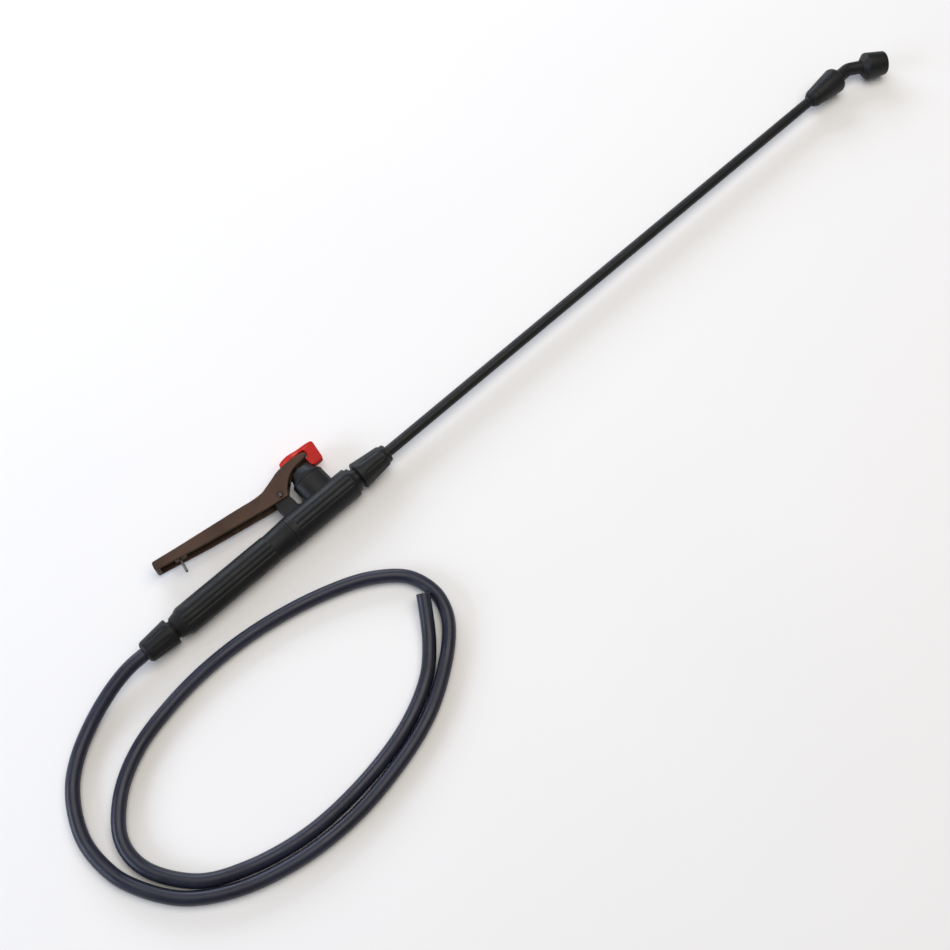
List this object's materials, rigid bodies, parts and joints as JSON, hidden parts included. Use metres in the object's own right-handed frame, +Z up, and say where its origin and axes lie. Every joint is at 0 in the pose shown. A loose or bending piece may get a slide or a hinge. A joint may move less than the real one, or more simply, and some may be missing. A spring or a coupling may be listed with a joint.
{
  "type": "backpack sprayer trigger lance",
  "caption": "Hand lance of a backpack sprayer: hose, fluted grip with squeeze lever and lift-stem valve, long straight wand, angled nozzle with a screw cap.",
  "frame": {"origin": "on the floor, under the middle of the lance's own box, hose not counted", "axes": "+X along the wand to the nozzle, +Y to the side the squeeze lever is on, +Z up from the floor the lance lies on"},
  "size_m": [1.068, 0.2802, 0.0282],
  "materials": {
    "black_plastic": "satin moulded, near black",
    "grip_plastic": "satin moulded, near black",
    "lever_plastic": "satin moulded, dark brown-black",
    "red_plastic": "semi-gloss moulded red",
    "hose_pvc": "soft semi-gloss PVC, blue-black",
    "steel": "plain drawn wire",
    "seal_rubber": "matte",
    "white_plastic": "natural moulded"
  },
  "bodies": {
    "handle": {"valve_body": "black_plastic", "pivot_pin": "steel", "bonnet_nut": "black_plastic", "stem_oring": "seal_rubber", "valve_spring": "steel", "grip_body": "grip_plastic", "grip_seal": "seal_rubber", "strainer": "white_plastic", "lance_seal": "seal_rubber", "hose_gasket": "seal_rubber", "hose_barb": "white_plastic", "hose": "hose_pvc"},
    "stem": {"valve_stem": "steel", "valve_disc": "seal_rubber", "stem_head": "red_plastic"},
    "lever": {"lever": "lever_plastic", "stop_pin": "steel"},
    "lance_nut": {"lance_nut": "black_plastic"},
    "hose_nut": {"hose_nut": "black_plastic"},
    "wand": {"wand_tube": "black_plastic", "nozzle_seal": "seal_rubber", "nozzle_elbow": "black_plastic", "swirl_core": "white_plastic", "nozzle_gasket": "seal_rubber"},
    "nozzle_nut": {"nozzle_nut": "black_plastic"},
    "nozzle_cap": {"nozzle_cap": "black_plastic"}
  },
  "joints": [
    {"name": "lever_squeeze", "type": "hinge", "parent": "handle", "child": "lever", "pos_m": [-0.2941, 0.016, 0.0141], "axis": [0, 0, 1], "range_deg": [0, 10.5], "stiffness_Nm_per_rad": 1.2, "springref_deg": -20.63},
    {"name": "stem_lift", "type": "slide", "parent": "handle", "child": "stem", "axis": [0, 1, 0], "range_m": [0, 0.0055], "deforming": ["valve_spring"]},
    {"name": "lance_nut_turn", "type": "hinge", "parent": "handle", "child": "lance_nut", "pos_m": [-0.2147, -0.014, 0.0141], "axis": [1, 0, 0], "range_deg": [0, 360]},
    {"name": "hose_nut_turn", "type": "hinge", "parent": "handle", "child": "hose_nut", "pos_m": [-0.452, -0.014, 0.0141], "axis": [-1, 0, 0], "range_deg": [0, 360]},
    {"name": "wand_turn", "type": "hinge", "parent": "handle", "child": "wand", "pos_m": [-0.198, -0.014, 0.0141], "axis": [-1, 0, 0], "continuous": true},
    {"name": "nozzle_nut_turn", "type": "hinge", "parent": "wand", "child": "nozzle_nut", "pos_m": [0.388, -0.014, 0.0141], "axis": [-1, 0, 0], "range_deg": [0, 360]},
    {"name": "nozzle_cap_turn", "type": "hinge", "parent": "wand", "child": "nozzle_cap", "pos_m": [0.427, -0.014, 0.0141], "axis": [0.866, -0.5, 0], "range_deg": [0, 540]}
  ],
  "couplings": [
    {"joint": "stem_lift", "follows": "lever_squeeze", "m_per_rad": 0.0297}
  ]
}
